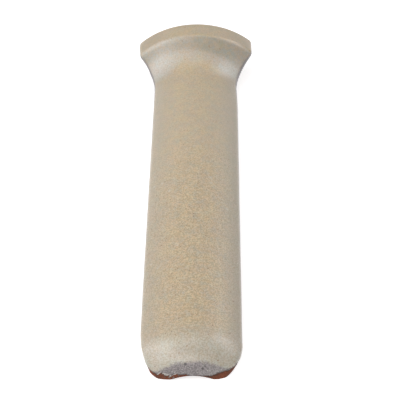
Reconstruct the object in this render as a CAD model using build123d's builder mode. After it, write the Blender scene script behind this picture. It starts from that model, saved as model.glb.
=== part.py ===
from build123d import *
from math import acos, cos, degrees, radians, sin
import os

# Corner trim tile for the outside corner of a tiled wall, in millimetres.
#
# The tile is one fired piece of clay. Its glazed face turns a quarter of a circle about
# the axis of the wall corner and keeps one profile all the way round: a rounded top, a
# straight shank, and a cove that sweeps out to a toe on the floor.
#
# It lies on its back, as it is laid out before fixing: Y runs from the rounded top to the
# face that stands on the floor, Z is up through the middle of the glazed face, and the
# origin is the middle of the surface that it rests on.

# Driving sizes of the profile
overall_height = 152.4
face_radius = 21.6
wall_thickness = 9.5
toe_reach = 8.0
toe_height = 8.4
cove_radius = 14.5
top_land = 0.6

# Driving sizes of the section across the tile
corner_angle = 90.0
channel_depth = 1.6
rim_radius = 1.8

# The toe's lip and its edge on the floor are rounder than the rim by this much, so that
# the rim runs round them on the inside without a crease
edge_allowance = 0.2
lip_radius = rim_radius + edge_allowance
floor_edge_radius = rim_radius + edge_allowance

# Radii about the axis of the wall corner
back_radius = face_radius - wall_thickness
toe_radius = face_radius + toe_reach
bullnose_radius = wall_thickness - top_land

# The back is flattened until its channel has this depth left, so the axis of the corner
# lies this far under the surface that the tile rests on
axis_depth = back_radius - channel_depth

# The cove leaves the shank at a tangent and turns until it has gone out by the toe's reach
cove_angle = degrees(acos(1 - toe_reach / cove_radius))
lip_height = overall_height - toe_height
cove_start = lip_height - cove_radius * sin(radians(cove_angle))

half_angle = corner_angle / 2
corner_axis = Axis((0, 0, -axis_depth), (0, 1, 0))

# Half-plane of the left joint face: its X is the distance out from the axis of the corner
# and its Y the distance from the rounded top
profile_plane = Plane(
    origin=(0, -overall_height / 2, -axis_depth),
    x_dir=(-sin(radians(half_angle)), 0, cos(radians(half_angle))),
    z_dir=(-cos(radians(half_angle)), 0, -sin(radians(half_angle))),
)


def on_back(edge):
    """Whether an edge of a joint face is the one that it shares with the back."""
    middle = edge @ 0.5
    from_axis = (middle.X**2 + (middle.Z + axis_depth) ** 2) ** 0.5
    return abs(from_axis - back_radius) < 0.001


with BuildPart() as corner_trim_tile:
    # The profile, turned through the corner
    with BuildSketch(profile_plane) as profile:
        with BuildLine():
            top = Line((back_radius, 0), (back_radius + top_land, 0))
            bullnose = CenterArc(
                (back_radius + top_land, bullnose_radius), bullnose_radius, -90, 90
            )
            shank = Line(bullnose @ 1, (face_radius, cove_start))
            cove = CenterArc(
                (face_radius + cove_radius, cove_start), cove_radius, 180, -cove_angle
            )
            toe = Line(cove @ 1, (toe_radius, overall_height))
            floor = Line(toe @ 1, (back_radius, overall_height))
            Line(floor @ 1, top @ 0)
        make_face()
        lip = profile.vertices().sort_by_distance(cove @ 1)[0]
        fillet(lip, lip_radius)
        floor_edge = profile.vertices().sort_by_distance(toe @ 1)[0]
        fillet(floor_edge, floor_edge_radius)
    revolve(axis=corner_axis, revolution_arc=corner_angle)

    # The rim, where the glazed face and the floor face turn over into the joint faces
    joint_faces = corner_trim_tile.faces().filter_by(GeomType.PLANE)
    joint_faces = joint_faces.filter_by(Axis.Y, reverse=True)
    rim = joint_faces.edges().filter_by(lambda edge: not on_back(edge))
    fillet(rim, rim_radius)

    # The two flats that the tile rests on, one each side of the channel in its back
    split(bisect_by=Plane.XY, keep=Keep.TOP)

corner_trim_tile.part.label = "corner_trim_tile"

os.makedirs("parts", exist_ok=True)
export_step(corner_trim_tile.part, "parts/corner_trim_tile.step")
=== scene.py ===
from math import acos, atan2, cos, pi, radians, sin, sqrt

import bpy
import numpy as np
from mathutils import Matrix, Vector


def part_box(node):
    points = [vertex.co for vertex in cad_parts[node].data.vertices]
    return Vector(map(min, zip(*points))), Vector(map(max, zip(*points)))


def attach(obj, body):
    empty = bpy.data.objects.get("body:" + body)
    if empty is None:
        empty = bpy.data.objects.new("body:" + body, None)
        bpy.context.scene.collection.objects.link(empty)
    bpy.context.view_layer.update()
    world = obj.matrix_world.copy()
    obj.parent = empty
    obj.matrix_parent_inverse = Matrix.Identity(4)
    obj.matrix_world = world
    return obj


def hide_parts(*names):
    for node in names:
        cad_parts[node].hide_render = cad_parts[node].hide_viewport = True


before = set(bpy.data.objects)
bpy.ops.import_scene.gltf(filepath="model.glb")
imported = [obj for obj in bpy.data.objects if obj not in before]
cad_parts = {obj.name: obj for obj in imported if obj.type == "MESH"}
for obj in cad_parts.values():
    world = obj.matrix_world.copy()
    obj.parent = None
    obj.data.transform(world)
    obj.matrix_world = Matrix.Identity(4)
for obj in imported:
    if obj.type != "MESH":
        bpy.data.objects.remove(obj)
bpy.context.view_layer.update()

# A glazed corner trim tile lying on its back: a speckled satin beige glaze over red-brown
# clay, thin and grey along its rounded top and ragged where it ends on bare clay.
# Sizes are in millimetres unless a name says otherwise, and meshes are written in metres.

MM = 0.001
TILE = "corner_trim_tile"
tile_low, tile_high = (np.array(corner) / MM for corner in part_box(TILE))

# The tile's sizes, as its solid has them but for the lip's and the floor edge's radius,
# which are those of the tile in the photograph
overall_height = tile_high[1] - tile_low[1]
face_radius = 21.6
wall_thickness = 9.5
toe_reach = 8.0
toe_height = 8.4
cove_radius = 14.5
top_land = 0.6
channel_depth = 1.6
rim_radius = 1.8
lip_radius = 2.4
floor_edge_radius = 1.85
half_angle = radians(45)

back_radius = face_radius - wall_thickness
toe_radius = face_radius + toe_reach
bullnose_radius = wall_thickness - top_land
axis_depth = back_radius - channel_depth
cove_start = overall_height - toe_height - cove_radius * sin(acos(1 - toe_reach / cove_radius))

# Points across the glazed face, round each rim, and from each rim to the back's edge, and
# the distance within which points are joined
face_columns = 97
rim_columns = 6
joint_columns = 8
weld_distance = 0.001

# The glaze: its thickness, how far it laps on to the two joint faces, how far before the
# floor face it stops, and how far from the tile's top it is thin, with less on the left
glaze_thickness = 0.15
left_lap, right_lap = 2.7, 1.4
floor_gap = 0.5
thin_width, thin_less_left = 4.3, 0.3
# The glaze rises to its thickness between two distances inside its edge. The distance that
# the unglazed back gets lies well outside it
glaze_rise, unglazed_at = (-0.15, 0.3), -6.0

# The lower border of the glaze across the tile's top, as places across and heights. Past a
# distance from the top it falls away, by so much for each millimetre
bare_across = (-12.5, -11.2, -9.4, -8.3, -6.8, -5.1, -3.4, -1.6,
               -0.3, 3.0, 5.0, 6.1, 8.3, 12.5, 14.0)
bare_height = (2.3, 2.1, 1.7, 1.45, 1.55, 1.75, 2.05, 2.2,
               1.7, 1.4, 1.3, 1.6, 2.35, 3.15, 3.3)
bare_reach, bare_slope = 4.5, 3

# Slanting drag marks in that border: their scale, the stretch across the tile over which
# they start and end, and how far along the tile they reach
mark_length, mark_width, mark_depth = 1.4, 0.42, 0.5
marks_start, marks_end, marks_reach = (-9.6, -8.6), (-3.2, -4.6), 2

# Small uneven shapes of this tile. How far the two lobes of the top stand out, by height
left_lobe = ((0, 1, 2, 3, 4, 5, 8, 11, 15),
             (0.5, 0.5, -0.1, -0.45, -0.7, -0.65, -0.5, -0.3, 0))
right_lobe = ((0, 2.5, 5, 8, 11, 14), (0.28, 0.22, 0.05, -0.15, -0.1, 0))
# How far the two side edges of the shank bow out, by place along the tile
left_bow = ((-40, -10, 20, 50), (0.28, 0.22, 0.06, 0))
right_bow = ((-60, -40, 0, 25, 45, 55), (0, 0.06, 0.14, 0.25, 0.25, 0))
# How far the toe's corners are pulled in, how far the top's left tip is worn, and how round
# the edges of the flats and of the worn tip are
left_toe_pull, right_toe_pull = 0.35, 0.05
tip_wear = 0.12
flat_ease, tip_ease = 0.15, 0.3


# Meshes

def straight(start, end, normal, spacing):
    """Stations on a straight stretch of the outline, from start to end.

    Each row is distance from the corner's axis, distance from the tile's top, and the two
    parts of the outward normal, with the stations about one spacing apart.
    """
    length = np.hypot(end[0] - start[0], end[1] - start[1])
    t = np.linspace(0, 1, max(2, int(round(length / spacing)) + 1))[:, None]
    points = (1 - t) * np.array(start) + t * np.array(end)
    return np.hstack([points, np.tile(normal, (len(t), 1))])


def bend(centre, radius, start_angle, end_angle, spacing, hollow=False):
    """Stations on an arc of the outline: centre plus radius times (cosine, sine) of the angle.

    The normal points away from the centre, or towards it where the arc is hollow.
    """
    length = radius * abs(end_angle - start_angle)
    a = np.linspace(start_angle, end_angle, max(2, int(round(length / spacing)) + 1))
    away = np.stack([np.cos(a), np.sin(a)], 1)
    return np.hstack([np.array(centre) + radius * away, -away if hollow else away])


def outline():
    """The tile's outline in a half-plane through the corner's axis, all round but the back.

    It runs down from the back's top edge: the top land, the bullnose, the shank, the cove,
    the lip, the toe, the floor edge and the floor face. The lip's arc touches the cove's arc
    and the toe, so its centre is the sum of both radii from the cove's centre.
    """
    cove_centre = (face_radius + cove_radius, cove_start)
    lip_out = toe_radius - lip_radius
    lip_along = cove_start + sqrt((cove_radius + lip_radius) ** 2 - (cove_centre[0] - lip_out) ** 2)
    meet = atan2(lip_along - cove_start, cove_centre[0] - lip_out)
    floor_in = toe_radius - floor_edge_radius
    floor_at = overall_height - floor_edge_radius
    nose_centre = (back_radius + top_land, bullnose_radius)
    stretches = [
        straight((back_radius, 0), (nose_centre[0], 0), (0, -1), 0.3),
        bend(nose_centre, bullnose_radius, -pi / 2, 0, 0.28),
        straight((face_radius, bullnose_radius), (face_radius, cove_start), (1, 0), 0.5),
        bend(cove_centre, cove_radius, pi, pi - meet, 0.35, hollow=True),
        bend((lip_out, lip_along), lip_radius, -meet, 0, 0.25),
        straight((toe_radius, lip_along), (toe_radius, floor_at), (1, 0), 0.4),
        bend((floor_in, floor_at), floor_edge_radius, 0, pi / 2, 0.28),
        straight((floor_in, overall_height), (back_radius, overall_height), (0, 1), 0.8),
    ]
    return np.vstack([stretches[0]] + [stretch[1:] for stretch in stretches[1:]])


def lattice_noise(points, wavelength, seed):
    """Smooth noise from -1 to 1: random values on a cubic lattice, blended by a cubic step.

    The points are moved by a hundred cells first, and the lattice repeats after its size.
    """
    size, moved = 32, 100.0
    lattice = np.random.default_rng(seed).uniform(-1, 1, (size, size, size))
    place = np.asarray(points) / wavelength + moved
    cell = np.floor(place).astype(int)
    part = place - cell
    part = part * part * (3 - 2 * part)
    total = np.zeros(place.shape[:-1])
    for corner in np.ndindex(2, 2, 2):
        index = (cell + np.array(corner)) % size
        weight = np.where(np.array(corner) == 1, part, 1 - part).prod(-1)
        total += weight * lattice[index[..., 0], index[..., 1], index[..., 2]]
    return total


def wavering(values, points, *scales):
    """Values with smooth noise added: a size times noise of a wavelength, for each scale."""
    for size, wavelength, seed in scales:
        values = values + size * lattice_noise(points, wavelength, seed)
    return values


def dents(points, *scales):
    """Depths under a surface: a size times one plus noise of a wavelength, for each scale."""
    return sum(size * (1 + lattice_noise(points, wavelength, seed))
               for size, wavelength, seed in scales)


def step(low, high, value):
    """A smooth step from 0 at low to 1 at high."""
    t = np.clip((value - low) / (high - low), 0, 1)
    return t * t * (3 - 2 * t)


def held_at_borders(values, width):
    """Values of a grid, brought to 0 at its four borders over a width counted in points."""
    for axis, count in enumerate(values.shape):
        place = np.arange(count)
        fade = step(0, width, place) * step(0, width, place[::-1])
        values = values * np.expand_dims(fade, 1 - axis)
    return values


def surface_normals(grid):
    """Unit normals of a grid of points, from the cross product of its two directions."""
    down = np.gradient(grid, axis=0)
    across = np.gradient(grid, axis=1)
    normal = np.cross(across, down)
    length = np.linalg.norm(normal, axis=-1, keepdims=True)
    return normal / np.maximum(length, 1e-9)


def outside(stations):
    """The tile's outside as a grid: one row for each station, one column across the tile.

    The middle columns turn the outline about the corner's axis. At each side a ball of the
    rim's radius rolls inside the outline and the joint face: the glazed columns end where it
    touches the glazed face, the rim's columns swing round the ball's centre, and the joint's
    columns run straight from where it touches the joint face to the back's edge. The first
    and the last row end at the rim, so that the back can close on to them.
    """
    out, along, normal_out, normal_along = stations.T
    ball_out = out - rim_radius * normal_out
    ball_along = along - rim_radius * normal_along
    ball_angle = half_angle - np.arcsin(rim_radius / ball_out)
    angle = ball_angle[:, None] * np.linspace(-1, 1, face_columns)
    face = np.stack([out[:, None] * np.sin(angle),
                     np.repeat(along[:, None], face_columns, 1),
                     out[:, None] * np.cos(angle)], -1)

    # The back's edge takes its points from the stations' steps along the tile, and from a
    # fifth of their steps outwards
    walk = np.abs(np.diff(along)) + 0.2 * np.abs(np.diff(out))
    walk = np.concatenate([[0], np.cumsum(walk)])
    back_along = rim_radius + (overall_height - 2 * rim_radius) * walk / walk[-1]

    sides = []
    for sign in (-1, 1):
        centre = np.stack([sign * ball_out * np.sin(ball_angle), ball_along,
                           ball_out * np.cos(ball_angle)], -1)
        from_face = np.stack([sign * normal_out * np.sin(ball_angle), normal_along,
                              normal_out * np.cos(ball_angle)], -1)
        from_joint = np.array([sign * cos(half_angle), 0, -sin(half_angle)])
        swing = np.arccos(np.clip(from_face @ from_joint, -1, 1))[:, None, None]
        turn = np.linspace(0, 1, rim_columns + 1)[1:][None, :, None]
        arm = (np.sin((1 - turn) * swing) * from_face[:, None]
               + np.sin(turn * swing) * from_joint) / np.sin(swing)
        rim = centre[:, None] + rim_radius * arm
        edge = np.stack([np.full_like(out, sign * back_radius * sin(half_angle)), back_along,
                         np.full_like(out, back_radius * cos(half_angle))], -1)
        edge[0], edge[-1] = rim[0, -1], rim[-1, -1]
        fall = np.linspace(0, 1, joint_columns + 1)[1:][None, :, None]
        joint = rim[:, -1:] + fall * (edge[:, None] - rim[:, -1:])
        sides.append(np.concatenate([rim, joint], 1))
    grid = np.concatenate([sides[0][:, ::-1], face, sides[1]], 1)
    return grid, back_along


def inside(grid, back_along):
    """The back as a grid: a quarter tube between the outside's first and last rows.

    Its columns take their angles from the outside's first row, and each column runs straight
    from that row to the last, so that both grids share their borders.
    """
    rounded = slice(joint_columns, grid.shape[1] - joint_columns)
    first, last = grid[0, rounded], grid[-1, rounded]
    angle = np.arctan2(first[:, 0], first[:, 2])
    part = ((back_along - back_along[0]) / (back_along[-1] - back_along[0]))[:, None]
    along = first[:, 1] + part * (last[:, 1] - first[:, 1])
    back = np.stack([back_radius * np.sin(angle) + 0 * along, along,
                     back_radius * np.cos(angle) + 0 * along], -1)
    back[0], back[-1] = first, last
    back[:, 0], back[:, -1] = grid[:, 0], grid[:, -1]
    return back


def past_rim(grid):
    """How far each point lies down its joint face from the end of the rim, in millimetres.

    It is negative on the rim, and -10 all over the glazed face.
    """
    distance = np.full(grid.shape[:2], -10.0)
    border = joint_columns + rim_columns
    for joint, direction in ((slice(0, border + 1), -1), (slice(-border - 1, None), 1)):
        strip = grid[:, joint][:, ::direction]
        across = np.linalg.norm(np.diff(strip, axis=1), axis=2)
        across = np.concatenate([np.zeros((len(grid), 1)), np.cumsum(across, 1)], 1)
        across = across - across[:, rim_columns:rim_columns + 1]
        distance[:, joint] = across[:, ::direction]
    return distance


def glaze_edges(grid, stations):
    """How far each point of the outside lies inside the glaze's edge, and inside its thin zone.

    The glaze laps over the rim on to the joint faces, further on the left, stops part of the
    way round the floor edge, and at the top stops at a border that leaves the low corners
    bare, with drag marks in it on the left. It is thin over a band of constant width along
    the bullnose, a little narrower on the left. Both distances waver.
    """
    step_along = np.linalg.norm(np.diff(stations[:, :2], axis=0), axis=1)
    travelled = np.concatenate([[0], np.cumsum(step_along)]) - top_land
    from_land = np.repeat(travelled[:, None], grid.shape[1], 1)
    x, y, height = grid[..., 0], grid[..., 1], grid[..., 2] - axis_depth

    lap = wavering(np.where(x < 0, left_lap, right_lap), grid, (0.35, 9.0, 11), (0.3, 3.0, 16))
    from_side = lap - past_rim(grid)
    border = np.interp(x, bare_across, bare_height)
    from_top = height - border + bare_slope * np.maximum(y - bare_reach, 0)
    last = np.searchsorted(stations[:, 1], overall_height - floor_gap)
    from_floor = travelled[last] - from_land
    edge = np.minimum(np.minimum(from_side, from_top), from_floor)
    edge = wavering(edge, grid, (0.16, 2.2, 12), (0.12, 0.8, 13))

    # The marks run at 45 degrees
    along_mark, across_mark = 0.7 * (x + height), 0.7 * (height - x)
    stretched = np.stack([along_mark / mark_length, across_mark / mark_width, 0 * x], -1)
    marks = mark_depth * lattice_noise(stretched, 1.0, 15)
    marks = marks * step(*marks_start, x) * step(*marks_end, x) * (y < marks_reach)
    edge = edge + marks

    thin = thin_width - thin_less_left * step(-5, -10, x) - from_land
    return edge, wavering(thin, grid, (0.3, 3.5, 14))


def eased(value, softness):
    """A value where it is well over 0 and nearly 0 where it is under, with a round turn between.

    It is half of the value plus the root of its square plus the softness squared.
    """
    return 0.5 * (value + np.sqrt(value**2 + softness**2))


def rubbed(points, towards, depth, softness, amount):
    """Points with whatever stands furthest out in one direction worn back by a depth.

    The amount, from 0 to 1, says where it is worn, and how far it stands out there.
    """
    towards = np.array(towards) / np.linalg.norm(towards)
    reach = points @ towards
    limit = (reach * (amount > 0.5)).max() - depth
    over = eased(reach - limit, softness) * amount
    return points - over[..., None] * towards


def flattened(points):
    """Points set on the resting surface, with the small uneven shapes of this tile.

    The edges of the flats are eased and the tip of the top's left lobe is worn. The lobes
    of the top flare at the foot of the joint faces, the side edges of the shank bow out and
    the toe's corners are pulled in, each over a smooth step of the place across the tile.
    """
    height = eased(points[..., 2] - axis_depth, flat_ease)
    placed = np.stack([points[..., 0], points[..., 1] - overall_height / 2, height], -1)
    x, y = placed[..., 0], placed[..., 1]
    near_left = step(-3.5, -7.5, x) * step(-70, -74, y)
    placed = rubbed(placed, (0, -0.65, -0.75), tip_wear, tip_ease, near_left)

    left, off_middle = x < 0, np.abs(x)
    lobe = np.where(left, np.interp(height, *left_lobe), np.interp(height, *right_lobe))
    bow = np.where(left, np.interp(y, *left_bow), np.interp(y, *right_bow))
    toe = np.where(left, left_toe_pull * step(73, 69, y) * step(62, 67, y),
                   right_toe_pull * step(72, 75.5, y))
    outward = step(-62, -72, y) * lobe * step(4, 9, off_middle)
    outward = outward + bow * step(9, 14, off_middle)
    outward = outward - toe * step(12, 18, off_middle)
    placed[..., 0] += np.sign(x) * outward
    return placed


def turned_over(rows, columns):
    """How far each point of the outside is turned over the rim: 0 on the face, 1 on a joint."""
    turned = np.ones(columns)
    rim_turn = np.arange(1, rim_columns + 1) / rim_columns
    turned[joint_columns:joint_columns + rim_columns] = rim_turn[::-1]
    turned[joint_columns + rim_columns:-joint_columns - rim_columns] = 0
    turned[-joint_columns - rim_columns:-joint_columns] = rim_turn
    return np.repeat(turned[None, :], rows, 0)


def tile_surface():
    """The whole tile as one closed surface, with the relief of its glaze and its clay.

    Where the solid is glazed the glaze keeps its height and bare clay lies a glaze's
    thickness under it. On the joint and floor faces the clay keeps its height and the glaze
    stands on it. The glaze has slow waves and the clay is pitted. Relief fades out along the
    borders that the two grids share.
    """
    stations = outline()
    grid, back_along = outside(stations)
    edge, thin = glaze_edges(grid, stations)
    rows, columns = grid.shape[:2]
    over_rim = turned_over(rows, columns)
    over_floor_edge = stations[:, 3:]
    off_face = np.maximum(step(0.5, 1.0, over_rim), step(0.6, 1.0, over_floor_edge))

    cover = step(*glaze_rise, edge)
    lift = glaze_thickness * (cover - (1 - off_face))
    waves = dents(grid, (0.025, 14.0, 21), (0.008, 3.2, 22))
    pits = dents(grid, (0.05, 1.1, 23), (0.03, 0.6, 24))
    lift = lift - cover * waves - (1 - cover) * pits
    grid = grid + held_at_borders(lift, 2)[..., None] * surface_normals(grid)

    back = inside(grid, back_along)
    back_columns = back.shape[1]
    sag = dents(back, (0.05, 1.3, 25), (0.08, 9.0, 26))
    back = back + held_at_borders(sag, 4)[..., None] * -surface_normals(back)

    points = flattened(np.concatenate([grid.reshape(-1, 3), back.reshape(-1, 3)]))
    unglazed = np.full(rows * back_columns, unglazed_at)
    attributes = {"glaze_edge": np.concatenate([edge.ravel(), unglazed]),
                  "thin_edge": np.concatenate([thin.ravel(), unglazed]),
                  "over_rim": np.concatenate([over_rim.ravel(), 0 * unglazed])}
    faces = np.concatenate([grid_faces(rows, columns, 0),
                            grid_faces(rows, back_columns, rows * columns)[:, ::-1]])
    kinds = np.concatenate([np.zeros((rows - 1) * (columns - 1), int),
                            np.ones((rows - 1) * (back_columns - 1), int)])
    return points, faces, kinds, attributes


def grid_faces(rows, columns, start):
    """Four-cornered faces of a grid whose points are numbered row by row from start."""
    corner = start + np.arange(rows - 1)[:, None] * columns + np.arange(columns - 1)
    corner = corner.ravel()
    return np.stack([corner, corner + 1, corner + columns + 1, corner + columns], 1)


def welded(points, faces, kinds, attributes):
    """The same surface with its coincident points joined and its empty faces dropped."""
    key = np.round(points / weld_distance).astype(np.int64)
    _, first, joined = np.unique(key, axis=0, return_index=True, return_inverse=True)
    faces = joined.reshape(-1)[faces]
    repeats = faces == np.roll(faces, -1, axis=1)
    opposite = (faces[:, 0] == faces[:, 2]) | (faces[:, 1] == faces[:, 3])
    whole = (repeats.sum(1) == 0) & ~opposite
    three = (repeats.sum(1) == 1) & ~opposite
    corners = faces[three][~repeats[three]].reshape(-1, 3)
    polygons = faces[whole].tolist() + corners.tolist()
    kinds = np.concatenate([kinds[whole], kinds[three]])
    return points[first], polygons, kinds, {name: a[first] for name, a in attributes.items()}


def enclosed_volume(points, polygons):
    """Volume of a closed surface, from the tetrahedra between its faces and the origin."""
    fans = np.array([(p[0], p[i], p[i + 1]) for p in polygons for i in range(1, len(p) - 1)])
    a, b, c = points[fans[:, 0]], points[fans[:, 1]], points[fans[:, 2]]
    return np.einsum("ij,ij->i", a, np.cross(b, c)).sum() / 6


def new_mesh(name, points, polygons, kinds, attributes, materials):
    """A mesh object at the origin from points in millimetres, with its faces outwards."""
    if enclosed_volume(points, polygons) < 0:
        polygons = [polygon[::-1] for polygon in polygons]
    mesh = bpy.data.meshes.new(name)
    mesh.from_pydata((points * MM).tolist(), [], polygons)
    for attribute, values in attributes.items():
        layer = mesh.attributes.new(attribute, "FLOAT", "POINT")
        layer.data.foreach_set("value", values.astype(np.float32))
    for material in materials:
        mesh.materials.append(material)
    mesh.polygons.foreach_set("material_index", kinds.astype(np.int32))
    mesh.polygons.foreach_set("use_smooth", np.ones(len(polygons), bool))
    mesh.update()
    piece = bpy.data.objects.new(name, mesh)
    bpy.context.scene.collection.objects.link(piece)
    return piece


# Materials

def colour(red, green, blue):
    """A colour for a socket, from the three values of 0 to 255 that a screen shows."""
    shown = np.array([red, green, blue]) / 255
    light = np.where(shown <= 0.04045, shown / 12.92, ((shown + 0.055) / 1.055) ** 2.4)
    return (*light.tolist(), 1.0)


# Thick glaze
BEIGE = colour(219, 197, 156)
GREY_BEIGE = colour(198, 188, 165)
PALE_CREAM = colour(224, 205, 170)
WARM_TAN = colour(204, 164, 112)
# Painted shade: towards the foot, at the toe's ends and along the floor edge
SHADE_TAN = colour(150, 134, 107)
GRAIN_TAN = colour(150, 130, 99)
WARM_DULL = colour(152, 128, 80)
MAUVE = colour(192, 172, 151)
GREEN_GREY = colour(178, 173, 141)
# Painted shade and sheen: more grey down the sides and over the bullnose
SIDE_SHADE_SHEEN_GREY = colour(158, 151, 136)
NOSE_SHADE_SHEEN_GREY = colour(179, 182, 177)
# Painted shade and sheen in the cove
COVE_SHADE_SHEEN_GREY = colour(181, 182, 181)
# Painted shade under the lip
LIP_SHADE_GREY = colour(125, 130, 126)
# Also a painted highlight along the lip's left and on the bullnose's right
PALE_GREY = colour(206, 202, 193)
RUST = colour(184, 130, 82)
DARK_PIT = colour(98, 80, 62)
OLIVE = colour(150, 146, 116)
# Thin glaze, and the glaze's edge
THIN_GREY = colour(150, 141, 140)
DARK_THIN_GREY = colour(109, 101, 101)
PINHOLE = colour(42, 33, 30)
# Also a painted shadow on the clay beside the glaze's edge
EDGE_BROWN = colour(52, 38, 33)
# Painted shade along the rim
RIM_SHADE_GREY = colour(84, 73, 78)
LAP_BROWN = colour(126, 92, 70)
CRUMB = colour(214, 206, 196)
# Clay
CLAY = colour(122, 63, 39)
DARK_CLAY = colour(84, 43, 28)
LIGHT_CLAY = colour(154, 95, 66)
PORE = colour(66, 38, 30)
GRIT = colour(188, 144, 116)

# Clouds of the glaze: size in millimetres, detail, and the two marks of their contrast
GLAZE_CLOUDS = {
    "slow": (3.6, 2.0, 0.35, 0.65),
    "tints": (4.5, 3.0, 0.38, 0.62),
    "mottle": (2.4, 2.0, 0.35, 0.65),
    "fine": (1.2, 2.0, 0.35, 0.65),
    "grain": (0.4, 1.0, 0.35, 0.65),
    "lap": (2.2, 4.0, 0.35, 0.65),
}
# Flecks of the glaze: spacing in millimetres, size and share of the cells, and softness
GLAZE_FLECKS = {
    "cream": (2.6, 0.22, 0.3, 0.9),
    "rust": (1.2, 0.24, 0.45, 0.6),
    "pits": (1.2, 0.19, 0.5, 0.6),
    "crust": (0.55, 0.28, 0.4, 0.5),
    "pinholes": (0.9, 0.2, 0.35, 0.3),
    "crumbs": (0.7, 0.3, 0.4, 0.3),
}
# Marks at places of their own: place and radius in millimetres, strength and colour
GLAZE_SPOTS = (
    ((-1.7, -75.4, 5.7), 0.4, 0.85, PINHOLE),
    ((3.2, -75.9, 4.2), 0.35, 0.85, PINHOLE),
    ((9.3, 66.9, 15.9), 1.3, 0.35, OLIVE),
)
# The painted grey of shade and sheen in the cove begins sooner off the middle: by so many
# millimetres, growing between two turns from the middle line. The painted shade of the dull
# band under the lip begins sooner on the right: by so much for each millimetre across, from a
# place on the left.
OFF_MIDDLE, COVE_RISE = (0.1, 0.5), 4.5
BAND_TILT, BAND_LEVEL_TO = 0.13, -3.0
# Where the glaze changes. Each mask goes from 0 to 1, or from its third value to its fourth,
# between two marks of one measure: millimetres along the tile from its middle, such a place
# risen for the cove or tilted for the band, millimetres across the tile, radians turned from
# its middle line, or parts of the turn over the rim.
GLAZE_MASKS = {
    "along": {
        "nose": (-62.0, -73.0),
        # Where painted shade darkens the lower sides
        "lower_shank": (0.0, 35.0),
        "above_toe": (68.0, 60.0),
        "above_lip": (68.4, 67.5),
        "below_lip": (66.5, 68.5),
        "lip_starts": (66.8, 67.6),
        "lip_ends": (69.2, 68.2),
        # Painted shade, darker towards the foot
        "shank_shade_to_foot": (-10.0, 36.0, 0.0, 0.24),
        "warm_toe": (67.5, 69.0, 0.0, 0.3),
        # Painted shade along the floor edge
        "floor_edge_shade": (71.5, 75.0, 0.0, 0.4),
        "calmer_foot": (-10.0, 32.0, 1.0, 0.6),
        "calmer_nose": (-64.0, -70.0, 1.0, 0.85),
        "cream_foot": (0.0, 50.0, 0.5, 0.0),
        # Painted shade on the rim grows towards the foot
        "rim_shade_to_foot": (0.0, 45.0, 0.75, 1.0),
        "whole_nose": (-72.0, -60.0, 0.05, 1.0),
        "cove_starts": (42.0, 54.0),
        "cove_ends": (69.0, 64.0),
        "top_edge": (-73.6, -74.4),
    },
    "risen": {
        "cove_grows": (60.0, 64.5),
    },
    "tilted": {
        # Where the painted shade under the lip begins
        "band_starts": (63.6, 66.0),
    },
    "across": {
        # Painted shade on the far right side
        "right_side_shade": (9.0, 14.0, 0.0, 0.3),
        # Where the painted highlight on the lip grows to the left
        "lip_highlight_left": (2.0, -8.0),
        "darker_left": (2.0, -9.0, 0.0, 0.16),
        # A painted highlight on the right of the bullnose's thin glaze
        "right_highlight": (2.0, 9.0, 0.0, 0.14),
        "marks_start": (-9.9, -9.0),
        "marks_end": (-3.2, -4.4),
    },
    "turn": {
        "off_side": (0.2, 0.7),
        "off_toe": (0.25, 0.6),
    },
    "over_rim": {
        "rim_starts": (0.0, 0.35),
        "rim": (0.12, 0.5),
        "joint": (0.8, 1.0),
    },
}
# How ragged the border of the thin glaze and the glaze's edge are
THIN_BORDER = {"Raggedness": 2.0, "Tooth": 1.1, "Softness": 0.7}
GLAZE_BORDER = {"Raggedness": 1.2, "Tooth": 0.6, "Softness": 0.08}
# The dark line inside the glaze's edge and the painted shadow on the clay outside it, in
# millimetres
LINE_WIDTH, STEP_SHADOW_WIDTH = 0.34, 0.4
# The drag marks: their two directions, each as long as its marks are many to the millimetre,
# how far inside the edge they fade, and how far they pull it, in millimetres
MARK_DIRECTIONS = ((0.32, 0, 0.32), (-1.35, 0, 1.35))
MARKS_FADE, MARK_PULL = (1.0, 0.5), 1.5
# Roughness of the glaze and of the clay, from and to, and what thin glaze adds
GLAZE_ROUGHNESS, CLAY_ROUGHNESS, THIN_ROUGHER = (0.34, 0.42), (0.78, 0.92), 0.12
# How deep the bumps of the glaze and of the clay look, in metres
GLAZE_BUMP, CLAY_BUMP = 0.00004, 0.00008


def add(tree, kind, inputs=None, **settings):
    """A node with its settings made and its inputs set to values or linked to sockets."""
    node = tree.nodes.new(kind)
    for name, value in settings.items():
        setattr(node, name, value)
    for name, value in (inputs or {}).items():
        if isinstance(value, bpy.types.NodeSocket):
            tree.links.new(value, node.inputs[name])
        else:
            node.inputs[name].default_value = value
    return node


def use(tree, group, **inputs):
    """A group placed in a tree with its named inputs, giving its first output."""
    return add(tree, "ShaderNodeGroup", inputs, node_tree=group).outputs[0]


def maths(tree, operation, first, second=0.0):
    """The result of one operation on one or two values."""
    return add(tree, "ShaderNodeMath", {0: first, 1: second}, operation=operation).outputs[0]


def plus(tree, first, second):
    """The sum of two values."""
    return maths(tree, "ADD", first, second)


def minus(tree, first, second):
    """The first value less the second."""
    return maths(tree, "SUBTRACT", first, second)


def times(tree, *values):
    """The product of two or more values."""
    product = values[0]
    for value in values[1:]:
        product = maths(tree, "MULTIPLY", product, value)
    return product


def between(tree, amount, start, end):
    """A value that goes evenly from start to end as the amount goes from 0 to 1."""
    node = add(tree, "ShaderNodeMapRange", {"Value": amount, "To Min": start, "To Max": end})
    return node.outputs["Result"]


def ramp(tree, value, low, high, start=0.0, end=1.0):
    """A smooth step of a value from low to high, giving start to end."""
    node = add(tree, "ShaderNodeMapRange",
               {"Value": value, "From Min": low, "From Max": high, "To Min": start, "To Max": end},
               interpolation_type="SMOOTHSTEP")
    return node.outputs["Result"]


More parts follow.
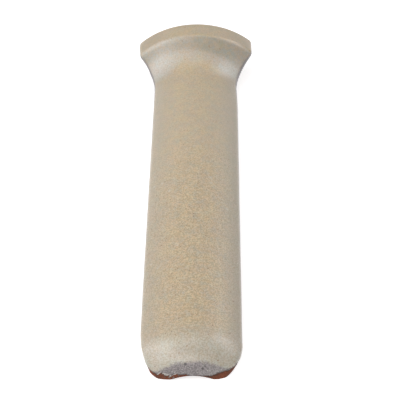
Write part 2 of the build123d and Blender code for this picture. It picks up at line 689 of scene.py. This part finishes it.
def blend(tree, amount, first, second):
    """A mix of two colours: the first where the amount is 0, the second where it is 1."""
    return add(tree, "ShaderNodeMix", {0: amount, 6: first, 7: second},
               data_type="RGBA").outputs[2]


def layered(tree, base, layers):
    """A base colour with further ones laid over it in turn, each as far as its mask says."""
    for mask, tint in layers:
        base = blend(tree, mask, base, tint)
    return base


def new_group(name, inputs, outputs):
    """A shader node group with named sockets, and its inputs and outputs."""
    group = bpy.data.node_groups.new(name, "ShaderNodeTree")
    for label, kind, value in inputs:
        socket = group.interface.new_socket(label, in_out="INPUT", socket_type=kind)
        if value is not None:
            socket.default_value = value
    for label, kind in outputs:
        group.interface.new_socket(label, in_out="OUTPUT", socket_type=kind)
    given = group.nodes.new("NodeGroupInput").outputs
    result = group.nodes.new("NodeGroupOutput").inputs
    return group, given, result


FLOAT, COLOUR, VECTOR = "NodeSocketFloat", "NodeSocketColor", "NodeSocketVector"


def flecks_group():
    """Round flecks: a share of the cells of a cell pattern hold a dot, bigger or smaller.

    A dot reaches from 0.4 to 1.4 times the size, and fades over the softness's part of it.
    """
    group, given, result = new_group(
        "Flecks", [("Position", VECTOR, None), ("Spacing", FLOAT, 1.0), ("Size", FLOAT, 0.3),
                   ("Share", FLOAT, 0.3), ("Softness", FLOAT, 0.3)], [("Mask", FLOAT)])
    scale = maths(group, "DIVIDE", 1.0, given["Spacing"])
    cells = add(group, "ShaderNodeTexVoronoi", {"Vector": given["Position"], "Scale": scale})
    chance = add(group, "ShaderNodeSeparateColor", {"Color": cells.outputs["Color"]})
    held = maths(group, "LESS_THAN", chance.outputs[0], given["Share"])
    reach = times(group, given["Size"], plus(group, chance.outputs[1], 0.4))
    inner = times(group, reach, minus(group, 1.0, given["Softness"]))
    dot = ramp(group, cells.outputs["Distance"], reach, inner)
    group.links.new(times(group, held, dot), result["Mask"])
    return group


def clouds_group():
    """Soft clouds from 0 to 1: layered noise with its contrast set by a low and a high mark."""
    group, given, result = new_group(
        "Clouds", [("Position", VECTOR, None), ("Size", FLOAT, 5.0), ("Detail", FLOAT, 3.0),
                   ("Low", FLOAT, 0.35), ("High", FLOAT, 0.65)], [("Value", FLOAT)])
    scale = maths(group, "DIVIDE", 1.0, given["Size"])
    noise = add(group, "ShaderNodeTexNoise",
                {"Vector": given["Position"], "Scale": scale, "Detail": given["Detail"]})
    group.links.new(ramp(group, noise.outputs["Fac"], given["Low"], given["High"]), result["Value"])
    return group


def ragged_group():
    """A crisp ragged border: a distance, roughened by layered noise, cut at zero."""
    group, given, result = new_group(
        "Ragged border", [("Position", VECTOR, None), ("Distance", FLOAT, 0.0),
                          ("Raggedness", FLOAT, 0.4), ("Tooth", FLOAT, 0.8),
                          ("Softness", FLOAT, 0.1)], [("Mask", FLOAT)])
    scale = maths(group, "DIVIDE", 1.0, given["Tooth"])
    noise = add(group, "ShaderNodeTexNoise",
                {"Vector": given["Position"], "Scale": scale, "Detail": 3.0, "Roughness": 0.6})
    jitter = times(group, minus(group, noise.outputs["Fac"], 0.5), given["Raggedness"])
    edge = plus(group, given["Distance"], jitter)
    border = ramp(group, edge, times(group, given["Softness"], -1.0), given["Softness"])
    group.links.new(border, result["Mask"])
    return group


def clay_group(clouds, flecks):
    """Fired red-brown clay: blotches of two reds, dark pores, pale grit and a rough surface."""
    group, given, result = new_group(
        "Fired clay", [("Position", VECTOR, None)],
        [("Color", COLOUR), ("Roughness", FLOAT), ("Height", FLOAT)])
    where = given["Position"]
    blotch = use(group, clouds, Position=where, Size=3.0, Detail=4.0, Low=0.3, High=0.7)
    grain = use(group, clouds, Position=where, Size=0.45, Detail=3.0, Low=0.3, High=0.7)
    pores = use(group, flecks, Position=where, Spacing=1.1, Size=0.25, Share=0.4, Softness=0.4)
    grit = use(group, flecks, Position=where, Spacing=1.7, Size=0.2, Share=0.35, Softness=0.3)
    red = layered(group, CLAY, [
        (blotch, DARK_CLAY),
        (times(group, grain, 0.35), LIGHT_CLAY),
        (times(group, pores, 0.85), PORE),
        (times(group, grit, 0.5), GRIT),
    ])
    group.links.new(red, result["Color"])
    group.links.new(ramp(group, grain, 0.0, 1.0, *CLAY_ROUGHNESS), result["Roughness"])
    group.links.new(minus(group, grain, pores), result["Height"])
    return group


def new_material(name):
    """A material with an empty node tree but for its output and a principled surface."""
    material = bpy.data.materials.new(name)
    material.use_nodes = True
    tree = material.node_tree
    tree.nodes.clear()
    surface = tree.nodes.new("ShaderNodeBsdfPrincipled")
    output = tree.nodes.new("ShaderNodeOutputMaterial")
    tree.links.new(surface.outputs["BSDF"], output.inputs["Surface"])
    return material, tree, surface


def bumped(tree, surface, height, depth):
    """Bumps on a surface, from a height and the depth in metres that one of it stands for."""
    bump = add(tree, "ShaderNodeBump", {"Height": height, "Distance": depth})
    tree.links.new(bump.outputs["Normal"], surface.inputs["Normal"])


def millimetre_position(tree):
    """The point's place on the piece, in millimetres."""
    place = add(tree, "ShaderNodeTexCoord").outputs["Object"]
    return add(tree, "ShaderNodeMapping", {"Vector": place, "Scale": (1000, 1000, 1000)}).outputs[0]


def clay_material(clay):
    """Bare clay, for the back."""
    material, tree, surface = new_material("red_brown_clay")
    where = millimetre_position(tree)
    body = add(tree, "ShaderNodeGroup", {"Position": where}, node_tree=clay).outputs
    tree.links.new(body["Color"], surface.inputs["Base Color"])
    tree.links.new(body["Roughness"], surface.inputs["Roughness"])
    bumped(tree, surface, body["Height"], CLAY_BUMP)
    return material


def glaze_patterns(tree, where, clouds, flecks):
    """The clouds and the flecks of the glaze, by name."""
    pattern = {}
    for name, (size, detail, low, high) in GLAZE_CLOUDS.items():
        pattern[name] = use(tree, clouds, Position=where, Size=size, Detail=detail,
                            Low=low, High=high)
    for name, (spacing, size, held, softness) in GLAZE_FLECKS.items():
        pattern[name] = use(tree, flecks, Position=where, Spacing=spacing, Size=size,
                            Share=held, Softness=softness)
    return pattern


def glaze_zones(tree, where, over_rim):
    """Where the glaze changes: the masks of the table and those made of them, by name.

    Painted shade and sheen make it more grey down the sides and over the bullnose, and painted
    shade darkens its far right side, its ends at the toe and its shank towards the foot. The
    painted grey of shade and sheen in the cove begins sooner off the middle, the painted shade
    of the dull band under the lip sooner on the right, and a painted highlight lies along the
    lip's left. Its clouds and flecks lose strength towards the foot and a little over the
    bullnose.
    """
    place = add(tree, "ShaderNodeSeparateXYZ", {"Vector": where}).outputs
    across, along = place["X"], place["Y"]
    over_axis = plus(tree, place["Z"], axis_depth)
    turn = maths(tree, "ABSOLUTE", maths(tree, "ARCTAN2", across, over_axis))
    off_middle = ramp(tree, turn, *OFF_MIDDLE)
    risen = plus(tree, along, times(tree, off_middle, COVE_RISE))
    from_level = maths(tree, "MAXIMUM", across, BAND_LEVEL_TO)
    tilted = plus(tree, along, times(tree, from_level, BAND_TILT))
    measures = {"along": along, "risen": risen, "tilted": tilted,
                "across": across, "turn": turn, "over_rim": over_rim}
    zone = {name: ramp(tree, measures[measure], *marks)
            for measure, masks in GLAZE_MASKS.items() for name, marks in masks.items()}

    # Painted shade and sheen, as grey strengths: 0.55 down the sides, 0.2 less over the bullnose;
    # 0.62 in the middle of the cove, 0.28 more off it
    sides = times(tree, zone["off_side"], zone["above_toe"])
    side_grey = times(tree, sides, minus(tree, 0.55, times(tree, zone["nose"], 0.2)))
    cove_grey = plus(tree, times(tree, off_middle, 0.28), 0.62)
    zone["sides"] = sides
    # Painted shade and sheen down the sides, with painted shade added on the far right side
    zone["greyer"] = plus(tree, side_grey, times(tree, sides, zone["right_side_shade"]))
    # Painted shade under the lip
    zone["under_lip"] = times(tree, zone["band_starts"], zone["above_lip"])
    # Painted shade and sheen in the cove, stronger off the middle
    zone["cove"] = times(tree, zone["cove_grows"], zone["above_lip"], cove_grey)
    # Painted shade at the toe's ends
    zone["toe_ends"] = times(tree, zone["off_toe"], zone["below_lip"])
    # A painted highlight along the lip's left
    zone["lip"] = times(tree, zone["lip_starts"], zone["lip_ends"], zone["lip_highlight_left"])
    zone["strength"] = times(tree, zone["calmer_foot"], zone["calmer_nose"])
    return zone


def thick_glaze(tree, zone, pattern):
    """The thick glaze's colour: slow clouds of beige, mottles and flecks, and painted shade, sheen
    and highlights.
    """
    strength, tints = zone["strength"], pattern["tints"]
    # The warm flecks fade where shade and sheen are painted grey
    grey = maths(tree, "MAXIMUM", zone["greyer"], times(tree, zone["nose"], 0.6))
    warm = times(tree, strength, minus(tree, 1.0, grey))
    return layered(tree, BEIGE, [
        (pattern["slow"], GREY_BEIGE),
        (times(tree, pattern["mottle"], strength, 0.75), PALE_CREAM),
        # Painted shade and sheen: more grey down the sides and over the bullnose
        (zone["greyer"], SIDE_SHADE_SHEEN_GREY),
        (times(tree, zone["nose"], 0.82), NOSE_SHADE_SHEEN_GREY),
        # Painted shade: darker towards the foot, down the lower sides and at the toe's ends
        (zone["shank_shade_to_foot"], SHADE_TAN),
        (times(tree, zone["sides"], zone["lower_shank"], 0.2), SHADE_TAN),
        (times(tree, zone["toe_ends"], 0.85), SHADE_TAN),
        (zone["warm_toe"], WARM_DULL),
        # Painted shade along the floor edge
        (zone["floor_edge_shade"], SHADE_TAN),
        # Painted shade and sheen in the cove
        (zone["cove"], COVE_SHADE_SHEEN_GREY),
        # Painted shade under the lip
        (times(tree, zone["under_lip"], 0.75), LIP_SHADE_GREY),
        # A painted highlight along the lip's left
        (times(tree, zone["lip"], 0.5), PALE_GREY),
        (times(tree, tints, 0.35), MAUVE),
        (times(tree, minus(tree, 1.0, tints), 0.2), GREEN_GREY),
        (times(tree, pattern["fine"], warm, 0.45), WARM_TAN),
        (times(tree, pattern["grain"], strength, 0.66), GRAIN_TAN),
        (times(tree, pattern["cream"], zone["cream_foot"]), PALE_GREY),
        (times(tree, pattern["rust"], strength, 0.45), RUST),
        (times(tree, pattern["pits"], strength, 0.65), DARK_PIT),
    ])


def thin_glaze(tree, zone, pattern):
    """The colour of the glaze where it is thin: grey, with pale crusts and dark pinholes, darker on
    the left, and a painted highlight on the right.
    """
    return layered(tree, THIN_GREY, [
        (pattern["grain"], DARK_THIN_GREY),
        (times(tree, pattern["crust"], 0.95), PALE_GREY),
        (times(tree, pattern["pinholes"], 0.7), PINHOLE),
        (zone["darker_left"], DARK_THIN_GREY),
        # A painted highlight on the right
        (zone["right_highlight"], PALE_GREY),
    ])


def painted_rim_shade(tree, zone):
    """How dark the rim is painted with shade: more towards the foot and beside the cove, less past
    it.
    """
    # Painted shade along the rim
    worn = times(tree, zone["rim"], zone["rim_shade_to_foot"], zone["whole_nose"])
    beside_cove = times(tree, zone["cove_starts"], zone["cove_ends"], zone["rim_starts"])
    less_on_joint = minus(tree, 1.0, times(tree, zone["joint"], 0.7))
    return times(tree, maths(tree, "MAXIMUM", worn, beside_cove), less_on_joint)


def drag_marks(tree, where, zone, edge, clouds):
    """Slanting ridges on the left of the top: their pattern, and where the glaze has them."""
    along_mark, across_mark = (add(tree, "ShaderNodeVectorMath", {0: where, 1: direction},
                                   operation="DOT_PRODUCT").outputs["Value"]
                               for direction in MARK_DIRECTIONS)
    stretched = add(tree, "ShaderNodeCombineXYZ", {"X": along_mark, "Y": across_mark}).outputs[0]
    ridges = use(tree, clouds, Position=stretched, Size=1.0, Detail=1.0, Low=0.46, High=0.64)
    dragged = times(tree, zone["marks_start"], zone["marks_end"], zone["top_edge"],
                    ramp(tree, edge, *MARKS_FADE))
    return ridges, dragged


def spots(tree, where):
    """The marks that have places of their own, each as a soft round mask and its colour."""
    found = []
    for place, radius, most, tint in GLAZE_SPOTS:
        gap = add(tree, "ShaderNodeVectorMath", {0: where, 1: place}, operation="DISTANCE")
        spot = ramp(tree, gap.outputs["Value"], radius * 1.5, radius * 0.4)
        found.append((times(tree, spot, most), tint))
    return found


def glaze_material(clay, clouds, flecks, ragged):
    """Speckled satin beige glaze, thin and grey along the top, over bare clay."""
    material, tree, surface = new_material("speckled_beige_glaze")
    where = millimetre_position(tree)
    edge, thin, over_rim = (add(tree, "ShaderNodeAttribute", attribute_name=name).outputs["Fac"]
                            for name in ("glaze_edge", "thin_edge", "over_rim"))
    body = add(tree, "ShaderNodeGroup", {"Position": where}, node_tree=clay).outputs
    pattern = glaze_patterns(tree, where, clouds, flecks)
    zone = glaze_zones(tree, where, over_rim)
    thin_mask = use(tree, ragged, Position=where, Distance=thin, **THIN_BORDER)

    # Drag marks move the edge. Inside it is a dark line with crumbs of glaze on it, and outside
    # it a painted shadow darkens the clay beside the glaze's step
    ridges, dragged = drag_marks(tree, where, zone, edge, clouds)
    pull = times(tree, minus(tree, ridges, 0.5), MARK_PULL)
    edge = plus(tree, edge, times(tree, pull, dragged))
    cover, inner, outer = (use(tree, ragged, Position=where, Distance=plus(tree, edge, moved),
                               **GLAZE_BORDER)
                           for moved in (0.0, -LINE_WIDTH, STEP_SHADOW_WIDTH))
    line, step_shadow = minus(tree, cover, inner), minus(tree, outer, cover)

    thick, grey = thick_glaze(tree, zone, pattern), thin_glaze(tree, zone, pattern)
    glaze = layered(tree, thick, [
        (thin_mask, grey),
        # Painted shade along the rim
        (painted_rim_shade(tree, zone), RIM_SHADE_GREY),
        (times(tree, pattern["lap"], zone["joint"], 0.55), LAP_BROWN),
        (times(tree, ridges, dragged, 0.78), CRUMB),
        (times(tree, line, 0.85), EDGE_BROWN),
        (times(tree, line, pattern["crumbs"]), CRUMB),
        *spots(tree, where),
    ])
    # A painted shadow beside the glaze's step darkens the bare clay
    bare = blend(tree, times(tree, step_shadow, 0.6), body["Color"], EDGE_BROWN)
    tree.links.new(blend(tree, cover, bare, glaze), surface.inputs["Base Color"])

    satin = plus(tree, ramp(tree, pattern["mottle"], 0.0, 1.0, *GLAZE_ROUGHNESS),
                 times(tree, thin_mask, THIN_ROUGHER))
    coat = times(tree, cover, ramp(tree, thin_mask, 0.0, 1.0, 1.0, 0.5))
    tree.links.new(between(tree, cover, body["Roughness"], satin), surface.inputs["Roughness"])
    tree.links.new(coat, surface.inputs["Coat Weight"])
    surface.inputs["Coat IOR"].default_value = 1.6
    surface.inputs["Coat Roughness"].default_value = 0.36

    # The glaze undulates, has pits and pinholes in it, and stands over the clay
    peel = plus(tree, times(tree, pattern["mottle"], 0.5),
                times(tree, pattern["fine"], zone["strength"], 0.5))
    peel = minus(tree, peel, times(tree, pattern["pits"], zone["strength"], 1.2))
    peel = minus(tree, peel, times(tree, pattern["pinholes"], thin_mask, 2.0))
    raised = plus(tree, peel, 1.5)
    bumped(tree, surface, between(tree, cover, body["Height"], raised), GLAZE_BUMP)
    return material


def seen_directly(tree):
    """1 for what the camera sees, also in reflections or through glass, and 0 for its light."""
    path = add(tree, "ShaderNodeLightPath").outputs
    seen = maths(tree, "MAXIMUM", path["Is Camera Ray"], path["Is Glossy Ray"])
    return maths(tree, "MAXIMUM", seen, path["Is Transmission Ray"])


def floor_material():
    """A white floor: to the camera and in reflections it glows to white, and keeps shadows."""
    material, tree, surface = new_material("white_floor")
    surface.inputs["Base Color"].default_value = (0.8, 0.8, 0.8, 1)
    surface.inputs["Roughness"].default_value = 0.9
    surface.inputs["Specular IOR Level"].default_value = 0.0
    surface.inputs["Emission Color"].default_value = (1, 1, 1, 1)
    tree.links.new(times(tree, seen_directly(tree), 0.7), surface.inputs["Emission Strength"])
    return material


# The tile

clouds = clouds_group()
flecks = flecks_group()
ragged = ragged_group()
clay = clay_group(clouds, flecks)
materials = [glaze_material(clay, clouds, flecks, ragged), clay_material(clay)]
tile = new_mesh("glazed_corner_trim_tile", *welded(*tile_surface()), materials)
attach(tile, "root")
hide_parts(TILE)


# The floor, the light and the camera

# Each lamp's direction from the tile, its distance and its side in metres, and its power
SOFTBOXES = {
    "left_front_softbox": ((-0.62, -0.62, 0.48), 1.6, 0.8, 4.6),
    "left_softbox": ((-0.672, -0.2, 0.71), 1.6, 0.8, 4.2),
    "right_softbox": ((0.76, -0.13, 0.63), 1.6, 0.8, 2.6),
    "right_back_softbox": ((0.65, 0.26, 0.71), 1.6, 0.75, 3.6),
    "overhead_softbox": ((-0.13, -0.1, 0.95), 1.0, 0.8, 1.8),
    "left_fill": ((-0.9, 0.1, 0.48), 1.0, 0.8, 2.5),
    "back_fill": ((0.6, 0.5, 0.62), 1.0, 0.45, 0.6),
    "front_fill": ((-0.2, -0.92, 0.3), 1.0, 0.6, 2.2),
}


def white_floor(reach):
    """A flat square floor under the tile, reaching so many metres each way."""
    mesh = bpy.data.meshes.new("floor")
    corners = [(-reach, -reach, 0), (reach, -reach, 0), (reach, reach, 0), (-reach, reach, 0)]
    mesh.from_pydata(corners, [], [(0, 1, 2, 3)])
    mesh.materials.append(floor_material())
    floor = bpy.data.objects.new("floor", mesh)
    bpy.context.scene.collection.objects.link(floor)


def softbox(name, direction, distance, side, power):
    """A white square area lamp that faces the tile."""
    lamp = bpy.data.lights.new(name, "AREA")
    lamp.shape = "RECTANGLE"
    lamp.size = lamp.size_y = side
    lamp.energy = power
    place = bpy.data.objects.new(name, lamp)
    toward = Vector(direction).normalized()
    place.location = toward * distance
    place.rotation_euler = toward.to_track_quat("Z", "Y").to_euler()
    bpy.context.scene.collection.objects.link(place)


def studio_world(level):
    """An even white surround: white to the camera and in reflections, dimmer as light."""
    world = bpy.data.worlds.new("studio")
    world.use_nodes = True
    tree = world.node_tree
    surround = tree.nodes["Background"].inputs
    tree.links.new(between(tree, seen_directly(tree), level, 1.0), surround["Strength"])
    surround["Color"].default_value = (1, 1, 1, 1)
    bpy.context.scene.world = world


def camera():
    """The camera of the photograph, which looks down the tile from its rounded top.

    It turns by an azimuth and an elevation about a point halfway along the tile, nine tenths
    of the face's radius over the corner's axis. It rolls, and stands off so that this point
    falls on a named pixel of the 400 by 400 picture.
    """
    elevation, azimuth, roll = radians(40.754), radians(2.024), radians(-2.509)
    focal_pixels, picture_width = 1352.4, 400
    middle_pixel = (193.51, 181.07)
    distance = 0.4317
    aim = Vector((0, 0, (0.9 * face_radius - axis_depth) * MM))
    forward = Vector((-sin(azimuth) * cos(elevation), cos(azimuth) * cos(elevation),
                      -sin(elevation)))
    level = Vector((cos(azimuth), sin(azimuth), 0))
    upright = level.cross(forward)
    right = level * cos(roll) + upright * sin(roll)
    up = upright * cos(roll) - level * sin(roll)
    across = (middle_pixel[0] - picture_width / 2) / focal_pixels
    above = -(middle_pixel[1] - picture_width / 2) / focal_pixels
    place = aim - distance * (across * right + above * up + forward)
    lens = bpy.data.cameras.new("camera")
    lens.sensor_width = 36
    lens.lens = lens.sensor_width * focal_pixels / picture_width
    lens.clip_start = 0.01
    eye = bpy.data.objects.new("camera", lens)
    turn = Matrix((right, up, -forward)).transposed()
    eye.matrix_world = Matrix.Translation(place) @ turn.to_4x4()
    bpy.context.scene.collection.objects.link(eye)
    bpy.context.scene.camera = eye


white_floor(2.0)
studio_world(0.1)
for name, setting in SOFTBOXES.items():
    softbox(name, *setting)
camera()
bpy.context.scene.view_settings.view_transform = "Standard"
